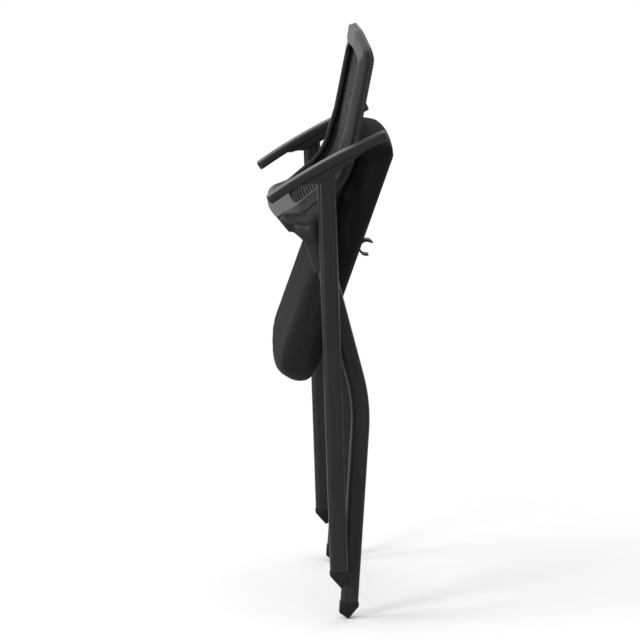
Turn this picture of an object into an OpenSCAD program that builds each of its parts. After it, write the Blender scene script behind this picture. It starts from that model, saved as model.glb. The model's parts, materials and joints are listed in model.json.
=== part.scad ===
// Folding chair with a mesh back, armrests and a padded flip-up seat.
// It is drawn folded and standing, front towards +X, left towards +Y.
// The rear legs carry the arms. The front legs carry the back.
// Both leg pairs cross at one pivot a side, and the seat swings on the rear crossbar.

/* [Opened chair] */
// Height of the leg pivot above the floor, opened
pivot_height = 485; // [440:1:520]
// Turn of the rear legs from folded to opened, degrees
rear_turn_angle = 30; // [26:0.5:34]
// Turn of the front legs and back from folded to opened, degrees
front_turn_angle = 34.5; // [30:0.5:38]
// Turn of the seat from folded to opened, degrees
seat_turn_angle = 66; // [62:0.5:68]

/* [Legs] */
// Width of the oval leg tube, seen from the side
tube_w = 32; // [28:0.5:36]
// Thickness of the oval leg tube, across the chair
tube_t = 18; // [15:0.5:20]
// Wall of the leg tube
tube_wall = 1.6; // [1.2:0.1:2.5]
// Distance between the centres of a rear leg and the front leg beside it
leg_step = 36; // [34:0.5:50]
// Lean of the folded rear leg, its top to the rear, degrees
rear_lean = 1.9; // [0:0.1:4]
// Lean of the folded front leg above its bend, its top to the rear, degrees
upper_lean = 14.8; // [12:0.1:16]
// Lean of the folded front leg below its bend, its top to the front, degrees
lower_lean = 3.5; // [2:0.1:5]
// Length of the front leg from the pivot to the corner of its bend
bend_reach = 232; // [210:1:250]
// Radius of the bend at the tube's centre line
bend_r = 300; // [200:5:340]
// Length of front tube above the pivot, inside the back arm
tube_above = 84; // [70:1:88]

/* [Feet] */
// Length of the foot cap above the tip, along the leg
cap_len = 30; // [24:1:40]
// How far the cap stands proud of the tube
cap_proud = 0.8; // [0.4:0.1:1.5]
// Length of the stub inside the tube
cap_stub = 22; // [15:1:30]
// How far the rear cap's toe reaches past the tube
rear_toe = 4; // [2:0.5:6]

/* [Crossbars] */
// Diameter of the rear crossbar, the seat's hinge rod
rod_d = 16; // [14:0.5:18]
// Distance of the rear crossbar below the pivot, along the rear leg
rod_drop = 130; // [124:1:140]
// Distance of the rear crossbar in front of the rear leg's centre line
rod_front = 4; // [0:0.5:6]
// Diameter of the front crossbar, which the clips take
bar_d = 20; // [18:0.5:20]
// Distance of the front crossbar below the pivot, along the front leg
bar_drop = 162; // [150:1:170]
// Distance of the front crossbar behind the front leg's centre line
bar_back = 5; // [4:0.5:6.5]
// Wall of both crossbars
bar_wall = 2; // [1.5:0.1:3]

/* [Pivots] */
// Diameter of the pivot bolt's shoulder
bolt_d = 10; // [8:0.5:12]
// Diameter of the pivot bolt's thread
thread_d = 8; // [6:0.5:8]
// Length of the thread
thread_len = 11; // [8:0.5:12]
// Diameter of the bolt head
bolt_head_d = 15; // [13:0.5:15.5]
// Height of the bolt head
bolt_head_h = 5; // [4:0.1:5.5]
// Wall of the bush in the front leg
bush_wall = 2; // [1.5:0.1:3]
// Diameter of the spacer between the legs
spacer_d = 28; // [22:0.5:30]
// Radial clearance of a turning fit
run_gap = 0.05; // [0.02:0.01:0.1]
// Clearance between faces that pass each other
face_gap = 0.3; // [0.2:0.05:0.5]

/* [Arms] */
// Length of the arm pad along its curve
pad_len = 233; // [200:1:250]
// Width of the arm pad
pad_w = 40; // [36:0.5:42]
// Thickness of the arm pad
pad_t = 14.5; // [12:0.5:16]
// Radius of the pad's underside, seen from the side
pad_r = 1080; // [800:10:1400]
// Slope of the folded pad, degrees
pad_slope = 29; // [26:0.5:32]
// Height of the pad's underside above the pivot, folded
pad_rise = 196; // [185:1:205]
// Distance of the pad's middle behind the pivot, folded
pad_back = 3.5; // [0:0.5:8]
// Width of the arm bracket
bracket_w = 26; // [22:0.5:30]
// Depth of the arm bracket at the leg
bracket_depth = 14; // [12:0.5:18]
// Length of the bracket's plug inside the tube
plug_len = 36; // [25:1:45]

/* [Back] */
// Clearance between the back's foot and the back arm beside it
back_gap = 0.4; // [0.3:0.1:2]
// How much each side of the back draws in towards the top
back_draw = 1.6; // [0:0.1:8]
// Length of the straight foot of the back's side curve
back_foot_len = 86; // [80:1:95]
// Radius of the lumbar curve
lumbar_r = 142; // [125:1:160]
// Length of the straight upper stretch
back_upper_len = 159; // [130:1:170]
// Radius of the top roll
roll_r = 50; // [40:1:90]
// Length of the straight stretch at the very top
back_tip_len = 33; // [15:0.5:40]
// Thickness of the front carrier
carrier_t = 7.2; // [6:0.1:8]
// Depth of the back's side face
side_depth = 14.5; // [12:0.5:18]
// Depth of the ridge beside the upper back
ridge_depth = 24; // [22:0.5:30]
// Depth of the ridge in the lumbar curve
lumbar_depth = 28.5; // [25:0.5:34]
// Depth of the bottom rail at its edge
ear_depth = 36; // [30:0.5:44]
// Width of the frame's side and top members
member_w = 30; // [26:0.5:36]
// Width of the bottom rail
rail_w = 42; // [36:0.5:46]
// How far the middle of the back bows to the rear at its foot
bow_foot = 4; // [2:0.5:8]
// How far the foot's edge dips at its middle
foot_dip = 9; // [4:0.5:12]
// How far it bows at its top
bow_top = 3; // [1:0.5:5]
// Thickness of the mesh
mesh_t = 1.6; // [1:0.1:2]
// Distance from rib to rib of the mesh
rib_pitch = 5.5; // [5.5:0.1:8]
// Width of one rib
rib_w = 3; // [2.5:0.1:4]
// Thickness of the back arm, across the chair
back_arm_t = 24; // [22:0.5:24]

/* [Seat] */
// Depth of the seat at its sides, from rear to front
seat_depth = 445.5; // [420:1:460]
// Width of the seat
seat_w = 410; // [390:1:412]
// Clearance between the seat and the back arm beside it
seat_gap = 7; // [4:0.5:12]
// Distance of the seat's rear edge behind the hinge rod, at its sides
seat_rear = 72; // [60:0.5:85]
// How far the rear edge bows out at its middle
rear_bow = 25; // [10:0.5:28]
// How far the front edge bows out at its middle
front_bow = 11.5; // [5:0.5:15]
// Angle of the folded seat from vertical, degrees
seat_lean = 19.5; // [18:0.5:21]
// Height of the pan's underside above the hinge rod's centre
seat_lift = 11; // [10.5:0.1:12]
// Height of the cushion's top edge above the pan's underside
seat_t = 66.5; // [55:0.5:70]
// How far the cushion's top falls towards the front edge
seat_fall = 9; // [4:0.5:12]
// Height of the crown above the cushion's edges
crown = 3.5; // [2:0.5:6]
// Radius of the seat's rear corners, seen from above
seat_corner = 42; // [35:1:70]
// Radius of its front corners
front_corner = 18; // [14:1:40]
// Radius of the cushion's upper edge
upper_r = 24; // [16:0.5:26]
// Radius of the cushion's lower edge
under_r = 25; // [22:0.5:28]
// Height of the pan's rim
pan_h = 10.5; // [9:0.5:14]
// How far the pan's edge stands in from the cushion's
pan_inset = 20; // [16:0.5:21]
// Wall of the pan
pan_wall = 2.4; // [2:0.1:3]
// Thickness of the board
board_t = 8; // [7:0.1:9]

/* [Seat fittings] */
// Half of the distance between the hinge blocks
hinge_y = 150; // [120:1:180]
// Width of a hinge block, across the chair
hinge_w = 34; // [28:1:40]
// Wall of the hinge block round the rod
hinge_wall = 2.9; // [2.5:0.1:2.9]
// Half of the distance between the snap clips
clip_y = 98; // [80:1:160]
// Width of a snap clip, across the chair
clip_w = 32; // [18:1:36]
// Wall of the snap clip
clip_wall = 3; // [2.5:0.1:3.5]
// Clearance of the clip round its bar
clip_gap = 1.2; // [1:0.1:1.5]

/* [Screws] */
// Diameter of the screws
screw_d = 5; // [4:0.5:6]
// Diameter of their heads
head_d = 9; // [8:0.5:10]
// Height of their heads
head_h = 3; // [2.5:0.1:4]

/* [Hidden] */
$fn = 64;
LEFT = 1;
RIGHT = -1;
over = 1;
fine = 0.2;

front_y = seat_w / 2 + seat_gap + back_arm_t / 2;
back_half = front_y - back_arm_t / 2 - back_gap;
back_half_top = back_half - back_draw;
rear_y = front_y + leg_step;
rear_inner = rear_y - tube_t / 2;
front_outer = front_y + tube_t / 2;
front_inner = front_y - tube_t / 2;
rear_open_lean = rear_turn_angle - rear_lean;
upper_open_lean = front_turn_angle + upper_lean;
lower_open_lean = front_turn_angle - lower_lean;

// Height of the folded sole line at x across a leg, for a leg that leans by a when opened
function rear_sole(x) = (-pivot_height + x * sin(rear_open_lean)) / cos(rear_open_lean);
bend_height = bend_reach * cos(upper_open_lean);
function front_sole(x) =
    (bend_height - pivot_height - x * sin(lower_open_lean)) / cos(lower_open_lean);

// Folded places, as [x, z] from the pivot
bend_corner = bend_reach * [sin(upper_lean), -cos(upper_lean)];
front_tip = bend_corner + front_sole(0) * [sin(lower_lean), cos(lower_lean)];
rod_place = turned([rod_front, -rod_drop], rear_lean);
pad_centre = [-pad_back, pad_rise];

// Ends of the folded chair, from the pivot
pad_half = pad_len / pad_r * 90 / PI;
pad_end = [-(pad_r + pad_t) * sin(pad_half), (pad_r + pad_t) * cos(pad_half) - pad_r];
rear_end = pad_centre[0] + pad_end[0] * cos(pad_slope) - pad_end[1] * sin(pad_slope);
seat_front = seat_depth - seat_rear;
front_end = rod_place[0] + (seat_front + front_bow - pan_inset) * sin(seat_lean)
    - seat_lift * cos(seat_lean);
pivot_x = -(rear_end + front_end) / 2;
pivot_z = -front_tip[1];

// Places on each carrier
module at_pivot() translate([pivot_x, 0, pivot_z]) children();
module on_rear_leg() at_pivot() rotate([0, -rear_lean, 0]) children();
module on_upper_leg() at_pivot() rotate([0, -upper_lean, 0]) children();
module on_lower_leg()
    at_pivot() translate([bend_corner[0], 0, bend_corner[1]]) rotate([0, lower_lean, 0]) children();
module on_pad()
    at_pivot() translate([pad_centre[0], 0, pad_centre[1]]) rotate([0, -pad_slope, 0]) children();
module on_seat()
    at_pivot() translate([rod_place[0], 0, rod_place[1]]) rotate([0, seat_lean - 90, 0]) children();
// Extrudes a side profile, drawn in x and z, across the chair round y
module across(y, w) translate([0, y + w / 2, 0]) rotate([90, 0, 0]) linear_extrude(w) children();
// A rod across the chair from y0 to y1
module rod(r, y0, y1) translate([0, y0, 0]) rotate([-90, 0, 0]) cylinder(r = r, h = y1 - y0);
module rod_side(side, r, y0, y1) rod(r, side > 0 ? y0 : -y1, side > 0 ? y1 : -y0);

// Section of an oval tube, its width along x
module oval(w, t) {
    square([w - t, t], center = true);
    for (s = [-1, 1]) translate([s * (w - t) / 2, 0]) circle(d = t, $fn = 48);
}
module tube_section() oval(tube_w, tube_t);
module tube_hollow() oval(tube_w - 2 * tube_wall, tube_t - 2 * tube_wall);

// Rear leg
rear_seam = rear_sole(0) + cap_len;
module rear_leg(side) {
    len_up = pad_rise;
    color([0.08, 0.08, 0.085]) difference() {
        on_rear_leg() translate([0, side * rear_y, rear_seam]) linear_extrude(len_up - rear_seam)
            tube_section();
        on_rear_leg() translate([0, side * rear_y, rear_seam - over])
            linear_extrude(len_up - rear_seam + 2 * over) tube_hollow();
        on_pad() translate([-tube_w * 2, side * rear_y - tube_t, -bracket_depth])
            cube([tube_w * 4, tube_t * 2, tube_w * 2]);
        at_pivot() rod_side(side, insert_r, rear_inner - over, rear_inner + tube_t / 2);
    }
}

// Foot cap profile on a rear leg: heel facet at the rear, sole, raised toe
rear_tip_x = 2;
module rear_foot(side) {
    w = tube_w / 2 + cap_proud;
    toe = tube_w / 2 + rear_toe;
    color([0.06, 0.06, 0.06]) on_rear_leg() {
        across(side * rear_y, tube_t + 2 * cap_proud) polygon([
            [-w, rear_seam], [-w, rear_sole(0) + cap_len * 0.8], [rear_tip_x, rear_sole(rear_tip_x)],
            [toe, rear_sole(toe)], [toe, rear_sole(toe) + rear_toe], [w, rear_seam]
        ]);
        translate([0, side * rear_y, rear_seam]) linear_extrude(cap_stub) tube_hollow();
    }
}

// Front leg, from inside the back arm down round the bend to its foot
front_seam = front_sole(0) + cap_len;
bend_angle = upper_lean + lower_lean;
bend_run = bend_r * tan(bend_angle / 2);
// The bend swells a little past the straight tube, as a pressed bend does
bend_swell = 0.1;
module front_path(seam, top, w, t) {
    on_upper_leg() translate([0, 0, bend_run - bend_reach - over])
        linear_extrude(top + bend_reach - bend_run + over) oval(w, t);
    on_upper_leg() translate([-bend_r, 0, bend_run - bend_reach]) rotate([90, 0, 0])
        rotate([0, 0, -bend_angle]) rotate_extrude(angle = bend_angle, $fn = 240)
            translate([bend_r, 0]) oval(w + bend_swell, t + bend_swell);
    on_lower_leg() translate([0, 0, seam]) linear_extrude(over - seam - bend_run) oval(w, t);
}
module front_leg(side) {
    color([0.08, 0.08, 0.085]) difference() {
        translate([0, side * front_y, 0]) front_path(front_seam, tube_above, tube_w, tube_t);
        translate([0, side * front_y, 0]) front_path(front_seam - over, tube_above + over,
            tube_w - 2 * tube_wall, tube_t - 2 * tube_wall);
        at_pivot() rod_side(side, bush_r, front_inner - over, front_outer + over);
        for (z = arm_screw_share * tube_above) on_upper_leg() translate([0, 0, z])
            rod_side(side, screw_d / 2, front_inner - over, front_y);
    }
}
module front_foot(side) {
    w = tube_w / 2 + cap_proud;
    color([0.06, 0.06, 0.06]) on_lower_leg() {
        across(side * front_y, tube_t + 2 * cap_proud) polygon([
            [-w, front_seam], [-w, front_sole(-w)], [0, front_sole(0)],
            [w, front_sole(0) + cap_len * 0.78], [w, front_seam]
        ]);
        translate([0, side * front_y, front_seam]) linear_extrude(cap_stub) tube_hollow();
    }
}

// Crossbars
module rear_crossbar() {
    color([0.08, 0.08, 0.085]) on_rear_leg() translate([rod_front, 0, -rod_drop]) difference() {
        rod(rod_d / 2, -rear_inner, rear_inner);
        rod(rod_d / 2 - bar_wall, -rear_y, rear_y);
    }
}
module front_crossbar() {
    color([0.08, 0.08, 0.085]) on_upper_leg() translate([-bar_back, 0, -bar_drop]) difference() {
        rod(bar_d / 2, -front_inner, front_inner);
        rod(bar_d / 2 - bar_wall, -front_y, front_y);
    }
}

// Pivot hardware
bush_r = bolt_d / 2 + run_gap + bush_wall;
insert_r = bolt_d / 2 + bush_wall;
back_arm_outer = front_y + back_arm_t / 2;
module pivot_bolts() {
    key_w = bolt_d / 2;
    color([0.12, 0.12, 0.12]) for (side = [LEFT, RIGHT]) at_pivot() difference() {
        union() {
            rod_side(side, bolt_head_d / 2, front_inner - face_gap - bolt_head_h,
                front_inner - face_gap);
            rod_side(side, bolt_d / 2, front_inner - face_gap, rear_inner);
            rod_side(side, thread_d / 2, rear_inner, rear_inner + thread_len);
        }
        translate([0, side * (front_inner - face_gap - bolt_head_h), 0]) rotate([90, 0, 0])
            cylinder(d = key_w, h = bolt_head_h, center = true, $fn = 6);
    }
}
module pivot_inserts() {
    color([0.5, 0.5, 0.48]) for (side = [LEFT, RIGHT]) at_pivot() difference() {
        rod_side(side, insert_r, rear_inner, rear_inner + thread_len);
        rod_side(side, thread_d / 2, rear_inner - over, rear_inner + thread_len + over);
    }
}
module pivot_spacers() {
    color([0.05, 0.05, 0.05]) for (side = [LEFT, RIGHT]) at_pivot() difference() {
        union() {
            rod_side(side, insert_r, front_outer + face_gap, rear_inner);
            rod_side(side, spacer_d / 2, back_arm_outer + face_gap, rear_inner);
        }
        rod_side(side, bolt_d / 2, front_outer, rear_inner + over);
    }
}
module pivot_bushes() {
    color([0.75, 0.74, 0.7]) for (side = [LEFT, RIGHT]) at_pivot() difference() {
        rod_side(side, bush_r, front_inner, front_outer);
        rod_side(side, bolt_d / 2 + run_gap, front_inner - over, front_outer + over);
    }
}

// Arm bracket: a deep web under the pad, with a plug inside the leg
bracket_shares = [[-0.27, 0], [-0.16, -0.62], [-0.118, -1], [0.058, -1], [0.2, -0.62], [0.36, -0.2],
    [0.36, 1], [-0.27, 1]];
arm_screw_shares = [-0.2, 0.26];
module arm_bracket(side) {
    color([0.07, 0.07, 0.07]) {
        difference() {
            on_pad() across(side * rear_y, bracket_w) intersection() {
                polygon([for (p = bracket_shares) [p[0] * pad_len, p[1] * bracket_depth]]);
                translate([0, -pad_r]) circle(r = pad_r, $fn = 720);
            }
            for (s = arm_screw_shares) arm_screw_place(side, s)
                translate([0, 0, -bracket_depth * 2]) {
                    cylinder(d = screw_d, h = bracket_depth * 3);
                    cylinder(d = head_d + 2 * face_gap, h = bracket_depth * 2 - arm_seat_h);
                }
        }
        intersection() {
            on_rear_leg() translate([0, side * rear_y, pad_rise / 2])
                linear_extrude(pad_rise) tube_hollow();
            on_pad() rotate([0, pad_slope - rear_lean, 0])
                translate([-tube_w, side * rear_y - tube_t, -bracket_depth - plug_len])
                    cube([tube_w * 2, tube_t * 2, plug_len * 2]);
            on_pad() translate([-tube_w * 3, side * rear_y - tube_t, -bracket_depth - tube_w * 3])
                cube([tube_w * 6, tube_t * 2, tube_w * 3 + fine]);
        }
    }
}
arm_seat_h = 3;
arm_screw_len = 12;
// Foot of an arm screw, on the pad's underside
module arm_screw_place(side, share) {
    a = share * pad_len / pad_r * 180 / PI;
    on_pad() translate([0, side * rear_y, -pad_r]) rotate([0, a, 0]) translate([0, 0, pad_r])
        children();
}
module arm_screws() {
    color([0.15, 0.15, 0.15]) for (side = [LEFT, RIGHT], s = arm_screw_shares)
        arm_screw_place(side, s) {
            translate([0, 0, -arm_seat_h - head_h]) cylinder(d = head_d, h = head_h);
            translate([0, 0, -arm_seat_h]) cylinder(d = screw_d, h = arm_screw_len);
        }
}
pad_corner = 9;
module arm_pad(side) {
    color([0.07, 0.07, 0.07]) difference() {
        intersection() {
            on_pad() across(side * rear_y, pad_w) intersection() {
                translate([0, -pad_r]) difference() {
                    circle(r = pad_r + pad_t, $fn = 720);
                    circle(r = pad_r, $fn = 720);
                }
                translate([0, -pad_r]) polygon([[0, 0],
                    2 * pad_r * [-sin(pad_half), cos(pad_half)],
                    2 * pad_r * [sin(pad_half), cos(pad_half)]]);
            }
            on_pad() translate([0, side * rear_y, -pad_len / 2]) linear_extrude(pad_len)
                rounded(2 * -pad_end[0], pad_w, pad_corner);
        }
        for (s = arm_screw_shares) arm_screw_place(side, s)
            cylinder(d = screw_d, h = 2 * (arm_screw_len - arm_seat_h), center = true);
    }
}

// A rounded rectangle, w along x
module rounded(w, d, r) {
    square([w - 2 * r, d], center = true);
    square([w, d - 2 * r], center = true);
    for (x = [-1, 1], y = [-1, 1]) translate([x * (w / 2 - r), y * (d / 2 - r)]) circle(r = r);
}

// Side curve of the back's front face, from the foot up: lean from vertical, then place
back_foot_angle = 50;
back_upper_angle = 11.1;
back_tip_angle = -15;
foot_behind = 65.5;
foot_above = 76;
back_foot = [-foot_behind, foot_above];
lumbar_len = lumbar_r * (back_foot_angle - back_upper_angle) * PI / 180;
roll_len = roll_r * (back_upper_angle - back_tip_angle) * PI / 180;
v_lumbar = back_foot_len;
v_upper = v_lumbar + lumbar_len;
v_roll = v_upper + back_upper_len;
v_tip = v_roll + roll_len;
back_len = v_tip + back_tip_len;
function ramp(v, len) = max(0, min(len, v));
function lean_at(v) = back_foot_angle - ramp(v - v_lumbar, lumbar_len) / lumbar_r * 180 / PI
    - ramp(v - v_roll, roll_len) / roll_r * 180 / PI;
function way(a) = [sin(a), cos(a)];
function turn_run(r, a, b) = r * [cos(b) - cos(a), sin(a) - sin(b)];
function curve_at(v) = back_foot
    + (min(v, v_lumbar) + 0) * way(back_foot_angle)
    + turn_run(lumbar_r, back_foot_angle, max(back_upper_angle, lean_at(min(v, v_roll))))
    + ramp(v - v_upper, back_upper_len) * way(back_upper_angle)
    + turn_run(roll_r, back_upper_angle, min(back_upper_angle, lean_at(max(v, v_roll))))
    + max(0, v - v_tip) * way(back_tip_angle);
function half_at(v) = back_half + (back_half_top - back_half) * v / back_len;
function bow_at(v) = bow_foot + (bow_top - bow_foot) * v / back_len;
function dip_at(v) = foot_dip * lookup(v, [[rail_w, 1], [v_upper, 0]]);
// Point of the back at u across, v up and w behind the front face
function back_point(u, v, w) =
    let (s = 1 - pow(u / half_at(v), 2), q = v - dip_at(v) * s, a = lean_at(q), p = curve_at(q),
        d = w + bow_at(v) * s)
    [p[0] - d * cos(a), u, p[1] + d * sin(a)];

// Outline of the back and of its opening, as matching corners in u and v
top_cut_in = 114;
top_cut_down = 26;
foot_cut = 10;
hole_cut_in = 100;
hole_cut_down = 30;
hole_foot_cut = 14;
function outline(inset_side, inset_foot, inset_top, cut, foot) =
    let (v0 = inset_foot, v1 = back_len - inset_top, h0 = half_at(v0) - inset_side,
        h1 = half_at(v1) - inset_side)
    [[-h0 + foot, v0], [h0 - foot, v0], [h0, v0 + foot], [h1, v1 - cut[1]],
        [h1 - cut[0], v1], [cut[0] - h1, v1], [-h1, v1 - cut[1]], [-h0, v0 + foot]];
outer_corners = outline(0, 0, 0, [top_cut_in, top_cut_down], foot_cut);
inner_corners = outline(member_w, rail_w, member_w, [hole_cut_in, hole_cut_down],
    hole_foot_cut);
edge_steps = [12, 2, 48, 4, 4, 4, 48, 2];
function walk(corners) = [for (i = [0:7], k = [0:edge_steps[i] - 1])
    let (a = corners[i], b = corners[(i + 1) % 8]) a + (b - a) * k / edge_steps[i]];
outer_walk = walk(outer_corners);
inner_walk = walk(inner_corners);

// How far the ridge stands behind the side face, v up the back
ear_shares = [0.4, 0.68];
function ridge_at(v) = lookup(v, [[rail_w * ear_shares[0], ear_depth],
    [rail_w * ear_shares[1], lumbar_depth], [v_upper, lumbar_depth],
    [v_upper + rail_w, ridge_depth]]) - side_depth;
// Share of the ridge that the outer edge has, full along the foot and none beside the mesh
function foot_at(v) = lookup(v, [[foot_cut, 1], [rail_w, 0]]);

// A closed ring through the section's points: a share of the way in, a depth, a share of the
// ridge, and 1 where the foot has the whole ridge
module ring(section) {
    n = len(outer_walk);
    m = len(section);
    points = [for (i = [0:n - 1], s = section)
        let (q = outer_walk[i] + (inner_walk[i] - outer_walk[i]) * s[0])
        back_point(q[0], q[1], s[1] + max(s[2], s[3] * foot_at(outer_walk[i][1])) * ridge_at(q[1]))];
    quads = [for (i = [0:n - 1], j = [0:m - 1])
        [i * m + j, i * m + (j + 1) % m, ((i + 1) % n) * m + (j + 1) % m, ((i + 1) % n) * m + j]];
    polyhedron(points, [for (q = quads, t = [0, 1])
        let (flat = section[(q[0] % m + 1) % m][0] < section[q[0] % m][0])
        flat ? (t == 0 ? [q[0], q[1], q[3]] : [q[1], q[2], q[3]])
            : (t == 0 ? [q[0], q[1], q[2]] : [q[0], q[2], q[3]])]);
}
mesh_gap = 0.5;
clamp_share = 0.5;
mesh_front = carrier_t + mesh_gap;
mesh_back = mesh_front + mesh_t;
frame_front = carrier_t + fine;
rebate = mesh_back + mesh_gap;
lip_t = 8;
module back_frame() {
    lip = side_depth - lip_t;
    bevel = lip_t / 5;
    color([0.2, 0.2, 0.2]) at_pivot() ring([[0, frame_front, 0, 0], [0, side_depth, 0, 1],
        [0.3, side_depth, 0.42, 1], [0.72, side_depth, 1, 1], [0.94, side_depth, 1, 1],
        [1, side_depth - bevel, 1, 1], [1, lip, 1, 1], [0.82, lip - bevel, 1, 1],
        [0.82, rebate, 0, 0], [clamp_share, rebate, 0, 0], [clamp_share, frame_front, 0, 0]]);
}
module back_carrier() {
    edge = carrier_t / 6;
    color([0.1, 0.1, 0.1]) at_pivot() ring([[0, edge, 0, 0], [0, carrier_t, 0, 0],
        [clamp_share, carrier_t, 0, 0], [0.75, carrier_t, 0, 0], [1, carrier_t, 0, 0],
        [1, edge, 0, 0], [0.94, 0, 0, 0], [0.06, 0, 0, 0]]);
}

// The mesh: a sheet with rows of slots, clamped between the carrier and the frame
mesh_edge_share = 0.6;
mesh_tie = 4;
mesh_corners = [for (i = [0:4]) outer_corners[i]
    + (inner_corners[i] - outer_corners[i]) * mesh_edge_share];
function half_line(c) = [[c[1][1], c[1][0]], [c[2][1], c[2][0]], [c[3][1], c[3][0]],
    [c[4][1], c[4][0]]];
function mesh_half(v) = lookup(v, half_line(mesh_corners));
function slot_half(v) = lookup(v, half_line(inner_corners)) - mesh_tie;
slot_foot = rail_w + mesh_tie;
slot_top = back_len - member_w - mesh_tie;
slot_rows = floor((slot_top - slot_foot) / rib_pitch);
slot_end = slot_foot + slot_rows * rib_pitch;
mesh_rows = concat([mesh_corners[1][1], mesh_corners[2][1]],
    [for (i = [0:slot_rows - 1], k = [0, 1])
        slot_foot + i * rib_pitch + (k == 0 ? rib_w : rib_pitch)],
    [for (k = [1:3]) slot_end + (mesh_corners[4][1] - slot_end) * k / 3]);
function mesh_columns(v) = let (a = slot_half(v), h = mesh_half(v), b = a / 3, t = mesh_tie / 2,
        m = (a + b + t) / 2)
    [-h, -a, -m, -b - t, -b + t, 0, b - t, b + t, m, a, h];
function is_slot(i, j) = i >= 2 && i < 2 + 2 * slot_rows && i % 2 == 0
    && (j == 1 || j == 2 || j == 4 || j == 5 || j == 7 || j == 8);
module back_mesh() {
    nr = len(mesh_rows);
    nc = 11;
    points = [for (w = [mesh_back, mesh_front], v = mesh_rows, u = mesh_columns(v))
        back_point(u, v, w)];
    function id(k, i, j) = (k * nr + i) * nc + j;
    function solid(i, j) = i >= 0 && i < nr - 1 && j >= 0 && j < nc - 1 && !is_slot(i, j);
    sheets = [for (i = [0:nr - 2], j = [0:nc - 2]) if (solid(i, j)) each [
        [id(0, i, j), id(0, i, j + 1), id(0, i + 1, j + 1), id(0, i + 1, j)],
        [id(1, i, j), id(1, i + 1, j), id(1, i + 1, j + 1), id(1, i, j + 1)]]];
    walls = [for (i = [0:nr - 2], j = [0:nc - 2]) if (solid(i, j)) each concat(
        solid(i - 1, j) ? [] : [[id(0, i, j), id(1, i, j), id(1, i, j + 1), id(0, i, j + 1)]],
        solid(i + 1, j) ? []
            : [[id(0, i + 1, j + 1), id(1, i + 1, j + 1), id(1, i + 1, j), id(0, i + 1, j)]],
        solid(i, j - 1) ? [] : [[id(0, i + 1, j), id(1, i + 1, j), id(1, i, j), id(0, i, j)]],
        solid(i, j + 1) ? []
            : [[id(0, i, j + 1), id(1, i, j + 1), id(1, i + 1, j + 1), id(0, i + 1, j + 1)]])];
    quads = concat(sheets, walls);
    color([0.12, 0.12, 0.12]) at_pivot()
        polyhedron(points, [for (q = quads, t = [0, 1])
            t == 0 ? [q[0], q[2], q[1]] : [q[0], q[3], q[2]]]);
}

// Back arm: a sleeve on the front tube that rises into a cheek beside the back
arm_low = 8;
arm_shell = 3;
cheek_len = 94;
cheek_front = 2;
cheek_ear_shares = [[0.68, 0.66], [0.44, 0.88], [0.15, 0.93], [0, 0.86], [0, 0.17]];
arm_screw_share = [0.42, 0.8];
throat_shares = [[-0.74, 0.96], [-0.62, 0.865], [-0.53, 0.783], [-0.4, 0.51]];
notch_behind = 28;
notch_above = 29;
notch_w = 5;
notch_h = 8;
function on_upper(x, z) = [x * cos(upper_lean) - z * sin(upper_lean),
    x * sin(upper_lean) + z * cos(upper_lean)];
function cheek(v, w) = let (p = back_point(back_half, v, w)) [p[0], p[2]];
module back_arm(side) {
    e = tube_w / 2 + arm_shell;
    steps = 8;
    rear_run = [for (k = [steps:-1:0]) cheek(rail_w + (cheek_len - rail_w) * k / steps, side_depth)];
    ear = [for (p = cheek_ear_shares) cheek(rail_w * p[0], ear_depth * p[1])];
    nose = [on_upper(e, arm_low), on_upper(e, tube_above + arm_shell)];
    y_mid = side * front_y;
    color([0.16, 0.16, 0.16]) difference() {
        at_pivot() across(y_mid, back_arm_t) difference() {
            polygon(concat(rear_run, ear, tube_above * throat_shares,
                [on_upper(-e, arm_low)], nose, [cheek(cheek_len, -cheek_front)]));
            translate([-notch_behind, notch_above]) rotate(upper_lean)
                square([notch_w, notch_h], center = true);
        }
        on_upper_leg() translate([0, y_mid, -over]) linear_extrude(tube_above + over) tube_section();
        for (z = arm_screw_share * tube_above) on_upper_leg() translate([0, 0, z])
            rod_side(side, screw_d / 2, front_y - back_arm_t / 2 - over, front_y);
    }
}
module back_screws() {
    y0 = front_y - back_arm_t / 2;
    color([0.15, 0.15, 0.15]) for (side = [LEFT, RIGHT], z = arm_screw_share * tube_above)
        on_upper_leg() translate([0, 0, z]) {
            rod_side(side, head_d / 2, y0 - head_h, y0);
            rod_side(side, screw_d / 2, y0, front_inner + tube_wall + screw_d / 2);
        }
}

// Seat, in its own frame: x to the front from the hinge rod, z up from it
seat_mid = (seat_front - seat_rear) / 2;
board_base = seat_lift + pan_wall + fine;
cushion_base = max(seat_lift + pan_h, board_base + board_t) + fine;
module seat_plate(inset, z, h) translate([seat_mid, 0, z]) linear_extrude(h)
    polygon(seat_outline(inset));
module screw_holes(z, h, d) for (p = seat_screw_places) translate([p[0], p[1], z])
    cylinder(d = d, h = h);
module seat_pan() {
    color([0.06, 0.06, 0.06]) on_seat() difference() {
        seat_plate(pan_inset, seat_lift, pan_h);
        seat_plate(pan_inset + pan_wall, seat_lift + pan_wall, pan_h);
        screw_holes(seat_lift - over, pan_wall + 2 * over, screw_d + 2 * face_gap);
    }
}
module seat_board() {
    color([0.6, 0.48, 0.33]) on_seat() difference() {
        seat_plate(pan_inset + pan_wall + face_gap, board_base, board_t);
        screw_holes(board_base - over, board_t + 2 * over, screw_d);
    }
}

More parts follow.
